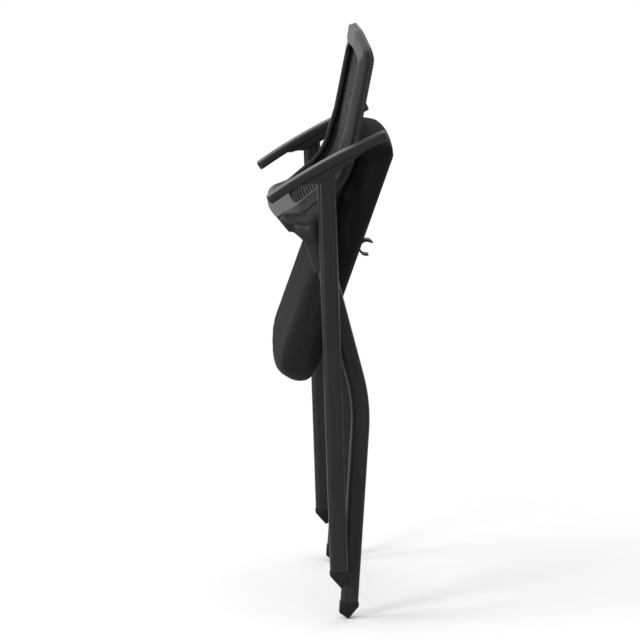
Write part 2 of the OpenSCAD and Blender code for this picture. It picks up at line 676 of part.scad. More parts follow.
// Cushion: rings of a rounded outline, from the base up over the crown
corner_steps = 7;
edge_split = 7;
function corner_arc(cx, cy, r, a0) = [for (k = [0:corner_steps])
    let (a = a0 + 90 * k / corner_steps) [cx + r * cos(a), cy + r * sin(a)]];
function lerp_row(a, b) = [for (k = [1:edge_split]) a + (b - a) * k / (edge_split + 1)];
function bowed(p) = [p[0] + (p[0] > 0 ? front_bow : -rear_bow) * (1 - pow(2 * p[1] / seat_w, 2))
    * 2 * abs(p[0]) / seat_depth, p[1]];
function seat_outline(inset) = seat_ring(inset, inset);
function seat_ring(inset, side_inset) =
    let (hx = seat_depth / 2 - inset, hy = seat_w / 2 - side_inset, least = front_corner / 2,
        f = max(front_corner - inset, least), r = max(seat_corner - inset, least),
        c = [corner_arc(hx - f, hy - f, f, 0), corner_arc(r - hx, hy - r, r, 90),
            corner_arc(r - hx, r - hy, r, 180), corner_arc(hx - f, f - hy, f, 270)])
    [for (i = [0:3]) each [for (p = concat(c[i], lerp_row(c[i][corner_steps], c[(i + 1) % 4][0])))
        bowed(p)]];
// Each ring: inset at the ends, inset at the sides, height, share of the crown
skirt = pan_inset - face_gap;
cushion_top = seat_lift + seat_t;
under_edge_angles = [asin(1 - skirt / under_r), 32, 50, 70, 90];
upper_edge_angles = [0, 22, 45, 68, 84];
crown_shares = [[0.075, 0.25], [0.14, 0.5], [0.24, 0.8], [0.36, 0.96]];
upper_side_share = 0.35;
cushion_rings = concat([[skirt, skirt, cushion_base, 0]],
    [for (a = under_edge_angles) let (i = under_r * (1 - sin(a)))
        [i, i, seat_lift + under_r * (1 - cos(a)), 0]],
    [for (a = upper_edge_angles) let (i = upper_r * (1 - cos(a)))
        [i, i * upper_side_share, cushion_top - upper_r * (1 - sin(a)), 0]],
    [for (g = crown_shares) let (i = g[0] * seat_w)
        [i, i - upper_r * (1 - upper_side_share), cushion_top, g[1]]]);
function fall_at(x) = let (x0 = seat_mid * 0.75)
    seat_fall * pow(max(0, (x - x0) / (seat_front - x0)), 1.6);
module seat_cushion() {
    rings = [for (g = cushion_rings) [for (p = seat_ring(g[0], g[1]))
        let (x = p[0] + seat_mid, share = max(0, (g[2] - cushion_base) / (cushion_top - cushion_base)))
        [x, p[1], g[2] + crown * g[3] - share * fall_at(x)]]];
    n = len(rings[0]);
    m = len(rings);
    top = [seat_mid, 0, cushion_top + crown - fall_at(seat_mid)];
    base = [seat_mid, 0, cushion_base];
    points = concat([for (r = rings) each r], [top, base]);
    sides = [for (i = [0:m - 2], k = [0:n - 1], t = [0, 1]) let (k1 = (k + 1) % n)
        t == 0 ? [i * n + k, (i + 1) * n + k1, i * n + k1]
            : [i * n + k, (i + 1) * n + k, (i + 1) * n + k1]];
    caps = [for (k = [0:n - 1], t = [0, 1]) let (k1 = (k + 1) % n)
        t == 0 ? [(m - 1) * n + k, m * n, (m - 1) * n + k1] : [k, k1, m * n + 1]];
    color([0.05, 0.05, 0.055]) on_seat() polyhedron(points, concat(sides, caps));
}

// Hinge blocks round the rear crossbar
flange_t = 4;
hinge_reach = 17;
flange_lip = 7;
hinge_r = rod_d / 2 + run_gap;
module seat_hinges() {
    r = rod_d / 2 + hinge_wall;
    half = hinge_reach + flange_lip;
    color([0.1, 0.1, 0.1]) on_seat() difference() {
        for (y = [-hinge_y, hinge_y]) {
            translate([0, y - hinge_w / 2, 0]) rod(r, 0, hinge_w);
            translate([-r, y - hinge_w / 2, 0]) cube([2 * r, hinge_w, seat_lift]);
            translate([-half, y - hinge_w / 2, seat_lift - flange_t])
                cube([2 * half, hinge_w, flange_t]);
        }
        for (y = [-hinge_y, hinge_y]) translate([0, y - hinge_w, 0]) rod(hinge_r, 0, 2 * hinge_w);
        screw_holes(seat_lift - flange_t - over, flange_t + 2 * over, screw_d);
    }
}

// Snap clips, placed where the opened seat meets the front crossbar
function turned(p, a) = [p[0] * cos(a) - p[1] * sin(a), p[0] * sin(a) + p[1] * cos(a)];
bar_open = turned([-bar_back, -bar_drop], upper_open_lean);
rod_open = turned([rod_front, -rod_drop], -rear_open_lean);
seat_open_slope = 90 - seat_lean - seat_turn_angle;
clip_place = turned(bar_open - rod_open, -seat_open_slope);
clip_in = bar_d / 2 + clip_gap;
clip_out = clip_in + clip_wall;
clip_reach = 15;
clip_flange_t = 3;
clip_half_block = 9;
front_prong_angle = 38;
rear_prong_angle = 8;
lead_angle = 35;
lead_len = 5;
module clip_profile() {
    difference() {
        circle(r = clip_out, $fn = 96);
        circle(r = clip_in, $fn = 96);
        polygon([[0, 0], 3 * clip_out * [cos(front_prong_angle), -sin(front_prong_angle)],
            3 * clip_out * [-sin(lead_angle), -cos(lead_angle)],
            3 * clip_out * [-cos(rear_prong_angle), sin(rear_prong_angle)]]);
    }
    translate(clip_in * [-cos(rear_prong_angle), sin(rear_prong_angle)]) rotate(-lead_angle)
        translate([-clip_wall, -lead_len]) square([clip_wall, lead_len + clip_wall / 3]);
    translate(clip_out * [-cos(rear_prong_angle), sin(rear_prong_angle)] + [clip_wall / 2, 0])
        circle(d = clip_wall);
    difference() {
        translate([-clip_half_block, 0])
            square([2 * clip_half_block, seat_lift - clip_place[1] - clip_flange_t / 2]);
        circle(r = clip_in, $fn = 96);
    }
    translate([-clip_reach - flange_lip, seat_lift - clip_place[1] - clip_flange_t])
        square([2 * (clip_reach + flange_lip), clip_flange_t]);
}
module seat_clips() {
    color([0.12, 0.12, 0.12]) on_seat() difference() {
        for (y = [-clip_y, clip_y]) translate([clip_place[0], 0, clip_place[1]])
            across(y, clip_w) clip_profile();
        screw_holes(seat_lift - clip_flange_t - over, clip_flange_t + 2 * over, screw_d);
    }
}

// Screws up through the fittings and the pan into the board
seat_screw_places = concat(
    [for (x = [-hinge_reach, hinge_reach], y = [-hinge_y, hinge_y]) [x, y]],
    [for (x = [-clip_reach, clip_reach], y = [-clip_y, clip_y]) [clip_place[0] + x, y]]);
module seat_screws() {
    color([0.15, 0.15, 0.15]) on_seat() for (p = seat_screw_places) {
        foot = seat_lift - (abs(p[1]) == hinge_y ? flange_t : clip_flange_t);
        translate([p[0], p[1], foot - head_h]) cylinder(d = head_d, h = head_h);
        translate([p[0], p[1], foot])
            cylinder(d = screw_d, h = board_base + board_t - foot - fine);
    }
}

rear_leg(LEFT);  // rear_leg_left
rear_leg(RIGHT);  // rear_leg_right
rear_foot(LEFT);  // rear_foot_left
rear_foot(RIGHT);  // rear_foot_right
rear_crossbar();
front_leg(LEFT);  // front_leg_left
front_leg(RIGHT);  // front_leg_right
front_foot(LEFT);  // front_foot_left
front_foot(RIGHT);  // front_foot_right
front_crossbar();
pivot_bolts();
pivot_inserts();
pivot_spacers();
pivot_bushes();
arm_bracket(LEFT);  // arm_bracket_left
arm_bracket(RIGHT);  // arm_bracket_right
arm_pad(LEFT);  // arm_pad_left
arm_pad(RIGHT);  // arm_pad_right
arm_screws();
back_arm(LEFT);  // back_arm_left
back_arm(RIGHT);  // back_arm_right
back_frame();
back_carrier();
back_mesh();
back_screws();
seat_pan();
seat_board();
seat_cushion();
seat_hinges();
seat_clips();
seat_screws();
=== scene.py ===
"""Looks for the folded nesting chair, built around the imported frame.

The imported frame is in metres: +X is the chair's front, +Y its left, +Z up. Lengths named below are
in millimetres and angles in degrees, except where a heading says metres.
"""
import json
import math

import bmesh
import bpy
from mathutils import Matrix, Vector


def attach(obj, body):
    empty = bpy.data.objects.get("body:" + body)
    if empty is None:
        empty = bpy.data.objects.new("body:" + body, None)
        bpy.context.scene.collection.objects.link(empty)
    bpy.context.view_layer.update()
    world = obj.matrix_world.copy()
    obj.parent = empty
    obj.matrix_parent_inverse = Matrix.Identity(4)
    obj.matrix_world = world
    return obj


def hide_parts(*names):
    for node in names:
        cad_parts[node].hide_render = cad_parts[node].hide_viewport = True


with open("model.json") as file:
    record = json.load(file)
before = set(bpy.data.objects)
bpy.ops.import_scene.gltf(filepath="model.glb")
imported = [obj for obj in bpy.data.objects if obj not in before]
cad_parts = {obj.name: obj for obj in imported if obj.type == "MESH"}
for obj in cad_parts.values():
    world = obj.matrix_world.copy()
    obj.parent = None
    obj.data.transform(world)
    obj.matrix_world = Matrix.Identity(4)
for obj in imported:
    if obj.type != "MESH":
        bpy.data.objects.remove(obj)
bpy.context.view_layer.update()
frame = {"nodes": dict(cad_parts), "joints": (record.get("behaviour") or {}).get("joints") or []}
MM = 0.001
SIDES = {"left": 1, "right": -1}

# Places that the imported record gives
JOINTS = {joint["name"]: joint for joint in frame["joints"]}
PIVOT = Vector(JOINTS["fold"]["pos_m"])
ROD = Vector(JOINTS["seat_hinge"]["pos_m"])

# Camera, measured from the photo
CAMERA_PLACE = PIVOT + Vector((-308.2, -6107.6, 872.7)) * MM
CAMERA_AZIMUTH = -2.855
CAMERA_ELEVATION = 9.15
CAMERA_LENS, CAMERA_SENSOR = 191.475, 36.0

# Stage, in metres and watts: a light has a name, place, aim, size and power
CAMERA_REACH = 50.0
LIGHTS = (
    ("key", (-3.2, -0.7, 3.1), (0, 0, 0.6), (1.6, 2.0), 58),
    ("fill", (1.4, -3.2, 1.4), (0, 0, 0.6), (1.6, 2.4), 9),
    ("side", (-2.4, -2.6, 1.1), (0, 0, 0.7), (0.9, 1.4), 72),
    ("top", (0, 0.4, 3.4), (0, 0, 0.6), (2.4, 2.4), 54),
)
WORLD_LEVEL = 0.25
FLOOR_HALF, FLOOR_FADE = 2.0, (0.35, 0.95)
FLOOR_WHITE, FLOOR_ROUGH, FLOOR_GLOW = 0.95, 0.9, 0.14

# Side curve of the back's front face, as in the CAD
BACK_FOOT = (-65.5, 76.0)
FOOT_LEAN, UPPER_LEAN, TIP_LEAN = 50.0, 11.1, -15.0
FOOT_LEN, UPPER_LEN, TIP_LEN = 86.0, 159.0, 33.0
LUMBAR_R, ROLL_R = 142.0, 50.0
LUMBAR_LEN = math.radians(FOOT_LEAN - UPPER_LEAN) * LUMBAR_R
ROLL_LEN = math.radians(UPPER_LEAN - TIP_LEAN) * ROLL_R
V_LUMBAR = FOOT_LEN
V_UPPER = V_LUMBAR + LUMBAR_LEN
V_ROLL = V_UPPER + UPPER_LEN
V_TIP = V_ROLL + ROLL_LEN
BACK_LEN = V_TIP + TIP_LEN
BACK_HALF, BACK_HALF_TOP = 211.6, 210.0
BOW_FOOT, BOW_TOP, FOOT_DIP = 4.0, 3.0, 9.0
SIDE_DEPTH, RIDGE_DEPTH, LUMBAR_DEPTH, EAR_DEPTH = 14.5, 24.0, 28.5, 36.0
MEMBER_W, RAIL_W = 30.0, 42.0
TOP_CUT, FOOT_CUT, HOLE_CUT, HOLE_FOOT_CUT = (114, 26), 10, (100, 30), 14
RIDGE_TABLE = ((RAIL_W * 0.4, EAR_DEPTH), (RAIL_W * 0.68, LUMBAR_DEPTH),
    (V_UPPER, LUMBAR_DEPTH), (V_UPPER + RAIL_W, RIDGE_DEPTH))

# Back sections: share of the way in, depth, share of the ridge beside the mesh and at the foot
BED_DEPTH, MESH_BED, WRAP_DEPTH = 7.4, 9.8, 7.1
LIP_DEPTH, LIP_ROUND = SIDE_DEPTH - 8.0, 1.6
FRAME_SECTION = (
    (0, BED_DEPTH, 0, 0), (0, SIDE_DEPTH, 0, 1), (0.3, SIDE_DEPTH, 0.42, 1),
    (0.66, SIDE_DEPTH, 0.97, 1), (0.8, SIDE_DEPTH + 0.3, 1, 1), (0.94, SIDE_DEPTH, 1, 1),
    (1, SIDE_DEPTH - LIP_ROUND, 1, 1), (1, LIP_DEPTH, 1, 1), (0.82, LIP_DEPTH - LIP_ROUND, 1, 1),
    (0.82, MESH_BED, 0, 0), (0.5, MESH_BED, 0, 0), (0.5, BED_DEPTH, 0, 0),
)
WRAP_SECTION = (
    (0, 1.4, 0, 0), (0, WRAP_DEPTH, 0, 0), (0.5, WRAP_DEPTH, 0, 0), (1, WRAP_DEPTH, 0, 0),
    (1, 1.4, 0, 0), (0.93, 0.1, 0, 0), (0.5, -0.2, 0, 0), (0.07, 0.1, 0, 0),
)
FRAME_ROUND, WRAP_ROUND = 1.2, 0.9

# Knit loops on the carrier's edge: each has steps along the edge with its rise there
LOOP_PITCH, LOOP_START, LOOP_END_GAP = 4.4, 70.0, 34.0
LOOP_STEPS = ((-1.4, -0.3), (-0.5, 0.6), (0.5, 0.6), (1.4, -0.3))
LOOP_FACE_LEG, LOOP_SIDE_LEG, LOOP_T = 4, 6.6, 1.6

# Mesh: ribs, the rim of a rib's section, the part clamped in the frame and the ties
RIB_PITCH, RIB_W, RIB_T, MESH_MID = 5.5, 3.7, 3.0, 9.0
RIB_RIM = ((1, 0.6), (0.7, 1), (-0.7, 1), (-1, 0.6), (-1, -0.6), (-0.7, -1), (0.7, -1), (1, -0.6))
RIB_STEPS, RIB_GAP, RIB_OVERLAP = 12, 4.0, 3.5
CLAMP_SHARE, CLAMP_HALF_T = 0.58, 0.6
TIE_RIM, TIE_STEPS = ((-1.1, -0.4), (1.1, -0.4), (1.1, 0.4), (-1.1, 0.4)), 60

# Back arms: a rise in the relief has a height, a centre, lengths along and across, and a tilt
CHEEK_LEN, UPPER_TUBE_LEAN = 94.0, 14.8
ARM_IN, ARM_OUT, ARM_T, ARM_VOXEL = 212.4, 236.0, 23.6, 1.6
CHEEK_STEPS, CHEEK_SINK = 12, 3
EAR_SHARES = ((0.68, 0.66), (0.44, 0.88), (0.15, 0.93), (0, 0.86), (0, 0.17))
ARM_UNDERSIDE = ((-62.2, 80.6), (-52.1, 72.7), (-44.5, 65.0), (-37.5, 53.0), (-34.5, 42.8),
    (-28.0, 20.0), (-24.0, 7.0))
SLEEVE_HALF, SLEEVE_ENDS = 19, (8, 87)
EDGE_PARTS, EDGE_STEPS = 6, 8
EAR_LINE = [(-93.0, 112.0), (-118.0, 118.0)]
FACE_SUNK, FACE_RISE, FACE_RUN = 219.0, 16.5, 24
ARM_RELIEF = ((7.0, (-28, 86), (19, 14), 100), (-4.5, (-66, 98), (24, 7), 118))
SLEEVE_TOP, SLEEVE_DRAW, SLEEVE_R = 60, 4.0, 22

# Arm pads and seat, as in the CAD
REAR_Y = 260.0
PAD_CENTRE, PAD_SLOPE = (-3.5, 196.0), 29.0
PAD_LEN, PAD_W, PAD_T, PAD_R = 233.0, 40.0, 14.5, 1080.0
PAD_END_STEPS, PAD_STEPS = (0, 0.3, 0.8, 1.6, 2.6, 4, 6, 8.5, 11), 34
PAD_END_R, PAD_DRAW_R, PAD_LOW_SHARE, PAD_EDGE_R = 9.0, 3.2, 0.6, 3.6
SEAT_LEAN = 19.5
SEAT_DEPTH, SEAT_W, SEAT_REAR = 445.5, 410.0, 72.0
SEAT_CORNER, FRONT_CORNER, REAR_BOW, FRONT_BOW = 42.0, 18.0, 25.0, 11.5
SEAT_FRONT = SEAT_DEPTH - SEAT_REAR
SEAT_MID = (SEAT_FRONT - SEAT_REAR) / 2
SEAT_LIFT, SEAT_T, SEAT_FALL, CROWN = 11.0, 66.5, 9.0, 3.5
CUSHION_BASE, PAN_INSET, UPPER_R, UNDER_R = 21.8, 20.0, 24.0, 25.0
CUSHION_TOP = SEAT_LIFT + SEAT_T
CORNER_STEPS, SIDE_STEPS, LEAST_CORNER = 8, 14, 9.0
FALL_START, FALL_POWER = 0.75, 1.6

# Cushion: a crown ring has its inset at the ends and the sides, and its share of the crown
SKIRT_GAP, SIDE_SHARE, UNDER_STEPS = 0.3, 0.35, 8
UPPER_STEPS, UPPER_TURN = 8, 12
CROWN_RINGS = ((31, 14, 0.25), (58, 42, 0.5), (100, 90, 0.8), (148, 142, 0.96))
CUSHION_VOXEL = 5.0

# Cloth run of the cover: the band held at the pan and the most that the cover moves
PUFF_STEPS, PUFF_FORCE, PUFF_STIFF, PUFF_BEND = 16, 3.0, 40, 2.0
PUFF_HELD, PUFF_CAP = 6, 2.0

# Clips: an arc runs between two angles and two radii, in steps
CLIP_PLACE, CLIP_Y, CLIP_W = (177.3, -6.8), 98.0, 32.0
CLIP_BORE, CLIP_OUT, CLIP_TIP = 11.2, 14.2, 13.6
CLIP_PLATE, CLIP_NECK, CLIP_PLATE_T, NECK_ANGLE = 22, 9, 3, 50.7
CLIP_ARCS = (
    (NECK_ANGLE, 0, CLIP_OUT, CLIP_OUT + 0.9, 8), (0, -33, CLIP_OUT + 1.1, 15.2, 6),
    (-34, -8, CLIP_TIP, CLIP_BORE, 6), (-6, 188, CLIP_BORE, CLIP_BORE, 30),
    (191, 217, CLIP_BORE, 12.0, 6), (217, 190, CLIP_TIP, CLIP_OUT, 6),
    (186, 180 - NECK_ANGLE, CLIP_OUT, CLIP_OUT, 10),
)

# Edge rounding: widths, and the angles above which an edge is rounded
BRACKET_ROUND, FOOT_ROUND, PAN_ROUND, HINGE_ROUND, CLIP_ROUND = 2.4, 2.0, 1.6, 0.9, 0.5
SOFT_ANGLE, RING_ANGLE, CLIP_ANGLE = 28.0, 24.0, 50.0
ROUND_SEGMENTS, ARC_STEPS = 2, 6

# Textures: noise range and scales, a wave's band at scale 1 in metres, and the knits' pitches
NOISE_LOW, NOISE_HIGH = 0.3, 0.7
BROAD_SCALE, MOTTLE_SCALE, FIBRE_SCALE, BOARD_SCALE = 9.0, 14.0, 1400.0, 120.0
COLOUR_CHANGE = 0.12
WAVE_BAND = math.pi / 10
MESH_KNIT, WRAP_KNIT, COVER_KNIT = 1.4 * math.pi, 2.2 * math.pi, 0.9 * math.pi


# Materials

def shader(name):
    mat = bpy.data.materials.new(name)
    mat.use_nodes = True
    nodes = mat.node_tree.nodes
    nodes.clear()
    out = nodes.new("ShaderNodeOutputMaterial")
    bsdf = nodes.new("ShaderNodeBsdfPrincipled")
    mat.node_tree.links.new(bsdf.outputs[0], out.inputs[0])
    return mat, nodes, mat.node_tree.links, bsdf


def coordinates(nodes, links, stretch=(1, 1, 1)):
    place = nodes.new("ShaderNodeTexCoord")
    mapping = nodes.new("ShaderNodeMapping")
    mapping.inputs["Scale"].default_value = stretch
    links.new(place.outputs["Object"], mapping.inputs["Vector"])
    return mapping.outputs["Vector"]


def noise_node(nodes, links, vector, scale, detail):
    node = nodes.new("ShaderNodeTexNoise")
    node.inputs["Scale"].default_value = scale
    node.inputs["Detail"].default_value = detail
    links.new(vector, node.inputs["Vector"])
    return node.outputs["Fac"]


def spread(nodes, links, value, low, high):
    node = nodes.new("ShaderNodeMapRange")
    node.inputs["From Min"].default_value = NOISE_LOW
    node.inputs["From Max"].default_value = NOISE_HIGH
    node.inputs["To Min"].default_value = low
    node.inputs["To Max"].default_value = high
    links.new(value, node.inputs["Value"])
    return node.outputs["Result"]


def tint(nodes, links, value, dark, light):
    node = nodes.new("ShaderNodeMix")
    node.data_type = "RGBA"
    node.inputs["A"].default_value = (*dark, 1)
    node.inputs["B"].default_value = (*light, 1)
    links.new(value, node.inputs["Factor"])
    return node.outputs["Result"]


def bump(nodes, links, height, distance, strength, below=None):
    node = nodes.new("ShaderNodeBump")
    node.inputs["Distance"].default_value = distance
    node.inputs["Strength"].default_value = strength
    links.new(height, node.inputs["Height"])
    if below:
        links.new(below, node.inputs["Normal"])
    return node.outputs["Normal"]


def grained(name, color, rough, grain_mm, depth_mm, strength, metal=0.0, spec=0.5):
    """Coated metal or moulded plastic: an even colour, a fine grain and slight uneven gloss."""
    mat, nodes, links, bsdf = shader(name)
    space = coordinates(nodes, links)
    grain = noise_node(nodes, links, space, 1000.0 / grain_mm, 2.0)
    broad = noise_node(nodes, links, space, BROAD_SCALE, 4.0)
    dark = [c * (1 - COLOUR_CHANGE) for c in color]
    light = [c * (1 + COLOUR_CHANGE) for c in color]
    links.new(tint(nodes, links, broad, dark, light), bsdf.inputs["Base Color"])
    links.new(spread(nodes, links, broad, rough * 0.93, rough * 1.07), bsdf.inputs["Roughness"])
    links.new(bump(nodes, links, grain, depth_mm * MM, strength), bsdf.inputs["Normal"])
    bsdf.inputs["Metallic"].default_value = metal
    bsdf.inputs["Specular IOR Level"].default_value = spec
    return mat


def knitted(name, color, rough, pitch_mm, depth_mm, sheen, spec=0.3):
    """Stretch fabric or a woven cover: waves along all three axes and a soft mottle."""
    mat, nodes, links, bsdf = shader(name)
    space = coordinates(nodes, links)
    heights = []
    for axis in "XYZ":
        wave = nodes.new("ShaderNodeTexWave")
        wave.bands_direction = axis
        wave.inputs["Scale"].default_value = WAVE_BAND / (pitch_mm * MM)
        wave.inputs["Distortion"].default_value = 0.6
        wave.inputs["Detail"].default_value = 1.0
        links.new(space, wave.inputs["Vector"])
        heights.append(wave.outputs["Fac"])
    first = nodes.new("ShaderNodeMath")
    first.operation = "MULTIPLY"
    links.new(heights[0], first.inputs[0])
    links.new(heights[1], first.inputs[1])
    both = nodes.new("ShaderNodeMath")
    both.operation = "MULTIPLY_ADD"
    links.new(heights[2], both.inputs[0])
    both.inputs[1].default_value = 0.6
    links.new(first.outputs[0], both.inputs[2])
    broad = noise_node(nodes, links, space, MOTTLE_SCALE, 4.0)
    fine = noise_node(nodes, links, space, FIBRE_SCALE, 2.0)
    dark = [c * 0.8 for c in color]
    light = [c * 1.25 for c in color]
    links.new(tint(nodes, links, broad, dark, light), bsdf.inputs["Base Color"])
    rough_mix = spread(nodes, links, fine, rough * 0.92, min(1.0, rough * 1.06))
    links.new(rough_mix, bsdf.inputs["Roughness"])
    woven = bump(nodes, links, both.outputs[0], depth_mm * MM, 0.5)
    links.new(bump(nodes, links, fine, depth_mm * MM * 0.5, 0.3, woven), bsdf.inputs["Normal"])
    bsdf.inputs["Sheen Weight"].default_value = sheen
    bsdf.inputs["Sheen Roughness"].default_value = 0.5
    bsdf.inputs["Specular IOR Level"].default_value = spec
    return mat


def plywood(name):
    mat, nodes, links, bsdf = shader(name)
    space = coordinates(nodes, links, (1, 0.12, 1))
    grain = noise_node(nodes, links, space, BOARD_SCALE, 6.0)
    links.new(tint(nodes, links, grain, (0.42, 0.29, 0.17), (0.68, 0.54, 0.36)),
        bsdf.inputs["Base Color"])
    links.new(spread(nodes, links, grain, 0.55, 0.75), bsdf.inputs["Roughness"])
    links.new(bump(nodes, links, grain, 0.1 * MM, 0.4), bsdf.inputs["Normal"])
    return mat


MATS = {
    "leg": grained("leg_coat", (0.016, 0.016, 0.0175), 0.34, 0.5, 0.02, 0.35, spec=0.17),
    "bar": grained("bar_coat", (0.016, 0.016, 0.0175), 0.34, 0.5, 0.02, 0.35, spec=0.17),
    "plastic": grained("moulded_plastic", (0.018, 0.018, 0.019), 0.4, 0.45, 0.03, 0.4, spec=0.14),
    "back": grained("back_plastic", (0.018, 0.0185, 0.0185), 0.4, 0.45, 0.03, 0.4, spec=0.14),
    "pad": grained("pad_skin", (0.019, 0.019, 0.020), 0.34, 0.7, 0.05, 0.5, spec=0.15),
    "foot": grained("foot_plastic", (0.009, 0.009, 0.0095), 0.42, 0.6, 0.04, 0.5, spec=0.13),
    "mesh": knitted("mesh_threads", (0.006, 0.006, 0.007), 0.6, MESH_KNIT, 0.25, 0.02, spec=0.1),
    "wrap": knitted("mesh_wrap", (0.016, 0.016, 0.017), 0.62, WRAP_KNIT, 0.6, 0.1),
    "cover": knitted("seat_cover", (0.016, 0.016, 0.018), 0.9, COVER_KNIT, 0.12, 0.02, spec=0.06),
    "bolt": grained("black_oxide", (0.03, 0.03, 0.03), 0.35, 0.5, 0.02, 0.4, metal=0.6),
    "steel": grained("zinc", (0.5, 0.5, 0.49), 0.35, 0.5, 0.02, 0.4, metal=1.0),
    "bush": grained("acetal", (0.75, 0.74, 0.7), 0.4, 0.6, 0.02, 0.3),
    "board": plywood("board"),
}
NODE_MATS = {
    "leg": ["rear_leg_left", "rear_leg_right", "front_leg_left", "front_leg_right"],
    "bar": ["rear_crossbar", "front_crossbar"],
    "foot": ["rear_foot_left", "rear_foot_right", "front_foot_left", "front_foot_right"],
    "plastic": ["pivot_spacers", "arm_bracket_left", "arm_bracket_right", "back_arm_left",
        "back_arm_right", "seat_pan", "seat_hinges", "seat_clips"],
    "back": ["back_frame"],
    "pad": ["arm_pad_left", "arm_pad_right"],
    "wrap": ["back_carrier"],
    "mesh": ["back_mesh"],
    "cover": ["seat_cushion"],
    "bolt": ["pivot_bolts", "arm_screws", "back_screws", "seat_screws"],
    "steel": ["pivot_inserts"],
    "bush": ["pivot_bushes"],
    "board": ["seat_board"],
}


def dress_nodes():
    for key, names in NODE_MATS.items():
        for name in names:
            mesh = frame["nodes"][name].data
            mesh.materials.clear()
            mesh.materials.append(MATS[key])


# Shapes in millimetres from the pivot: x to the front, y to the left, z up

def place(x, y, z):
    return PIVOT + Vector((x, y, z)) * MM


def lean_at(v):
    low = max(0.0, min(LUMBAR_LEN, v - V_LUMBAR)) / LUMBAR_R
    top = max(0.0, min(ROLL_LEN, v - V_ROLL)) / ROLL_R
    return FOOT_LEAN - math.degrees(low + top)


def turn_run(radius, a, b):
    a, b = math.radians(a), math.radians(b)
    return Vector((radius * (math.cos(b) - math.cos(a)), radius * (math.sin(a) - math.sin(b))))


def way(a):
    return Vector((math.sin(math.radians(a)), math.cos(math.radians(a))))


def curve_at(v):
    spot = Vector(BACK_FOOT) + min(v, V_LUMBAR) * way(FOOT_LEAN)
    spot += turn_run(LUMBAR_R, FOOT_LEAN, max(UPPER_LEAN, lean_at(min(v, V_ROLL))))
    spot += max(0.0, min(UPPER_LEN, v - V_UPPER)) * way(UPPER_LEAN)
    spot += turn_run(ROLL_R, UPPER_LEAN, min(UPPER_LEAN, lean_at(max(v, V_ROLL))))
    return spot + max(0.0, v - V_TIP) * way(TIP_LEAN)


def lookup(v, table):
    """Reads a table of pairs, evenly between its rows and flat beyond them."""
    if v <= table[0][0]:
        return table[0][1]
    for (v0, a), (v1, b) in zip(table, table[1:]):
        if v <= v1:
            return a + (b - a) * (v - v0) / (v1 - v0)
    return table[-1][1]


def half_at(v):
    return BACK_HALF + (BACK_HALF_TOP - BACK_HALF) * v / BACK_LEN


def back_point(u, v, w):
    """A point of the back at u across it, v up it and w behind its front face."""
    middle = 1 - (u / half_at(v)) ** 2
    depth = w + (BOW_FOOT + (BOW_TOP - BOW_FOOT) * v / BACK_LEN) * middle
    v -= FOOT_DIP * lookup(v, ((RAIL_W, 1.0), (V_UPPER, 0.0))) * middle
    a = math.radians(lean_at(v))
    spot = curve_at(v)
    return place(spot.x - depth * math.cos(a), u, spot.y + depth * math.sin(a))


# Pieces

def make_piece(name, bm, mat, body, nodes=(), sharp=35.0):
    """Links a mesh as a piece, shades it smooth, attaches it to the body it moves with and hides the
    nodes it stands in for.
    """
    bmesh.ops.recalc_face_normals(bm, faces=bm.faces)
    mesh = bpy.data.meshes.new(name)
    bm.to_mesh(mesh)
    bm.free()
    mesh.polygons.foreach_set("use_smooth", [True] * len(mesh.polygons))
    mesh.set_sharp_from_angle(angle=math.radians(sharp))
    mesh.materials.append(MATS[mat])
    piece = bpy.data.objects.new(name, mesh)
    bpy.context.scene.collection.objects.link(piece)
    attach(piece, body)
    if nodes:
        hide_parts(*nodes)
    return piece


def round_edges(bm, width, angle=SOFT_ANGLE):
    """Rounds every edge that is sharper than the angle."""
    limit = math.radians(angle)
    edges = [e for e in bm.edges if len(e.link_faces) == 2 and e.calc_face_angle(0.0) > limit]
    bmesh.ops.bevel(bm, geom=edges, offset=width * MM, offset_type="OFFSET",
        segments=ROUND_SEGMENTS, profile=0.5, affect="EDGES", clamp_overlap=True)


def softened(node, width, mat, body):
    """A copy of a node with the edge rounding that a moulding has."""
    bm = bmesh.new()
    bm.from_mesh(frame["nodes"][node].data)
    bmesh.ops.remove_doubles(bm, verts=bm.verts, dist=0.02 * MM)
    bmesh.ops.dissolve_limit(bm, angle_limit=math.radians(0.6), verts=bm.verts, edges=bm.edges)
    round_edges(bm, width)
    make_piece(node + "_soft", bm, mat, body, [node])


def loft(bm, rows, closed_rows=False):
    """Skins rows of points that are closed rings of one length, and caps the ends if open."""
    rings = [[bm.verts.new(p) for p in row] for row in rows]
    n = len(rings[0])
    pairs = list(zip(rings, rings[1:]))
    if closed_rows:
        pairs.append((rings[-1], rings[0]))
    for a, b in pairs:
        for k in range(n):
            bm.faces.new((a[k], a[(k + 1) % n], b[(k + 1) % n], b[k]))
    if not closed_rows:
        bm.faces.new(rings[0])
        bm.faces.new(rings[-1])


def rounded_walk(corners, cuts, steps):
    """Points along a closed outline whose corners are rounded."""
    n = len(corners)
    points = []
    for i in range(n):
        here, after = corners[i], corners[(i + 1) % n]
        a = here + (corners[i - 1] - here).normalized() * cuts[i]
        b = here + (after - here).normalized() * cuts[i]
        for k in range(ARC_STEPS + 1):
            t = k / ARC_STEPS
            points.append(a * (1 - t) ** 2 + here * 2 * t * (1 - t) + b * t * t)
        c = after + (here - after).normalized() * cuts[(i + 1) % n]
        points += [b.lerp(c, k / steps[i]) for k in range(1, steps[i])]
    return points


def outline(inset_side, inset_foot, inset_top, cut, foot):
    v0, v1 = inset_foot, BACK_LEN - inset_top
    h0, h1 = half_at(v0) - inset_side, half_at(v1) - inset_side
    return [Vector(p) for p in ((-h0 + foot, v0), (h0 - foot, v0), (h0, v0 + foot),
        (h1, v1 - cut[1]), (h1 - cut[0], v1), (cut[0] - h1, v1), (-h1, v1 - cut[1]),
        (-h0, v0 + foot))]


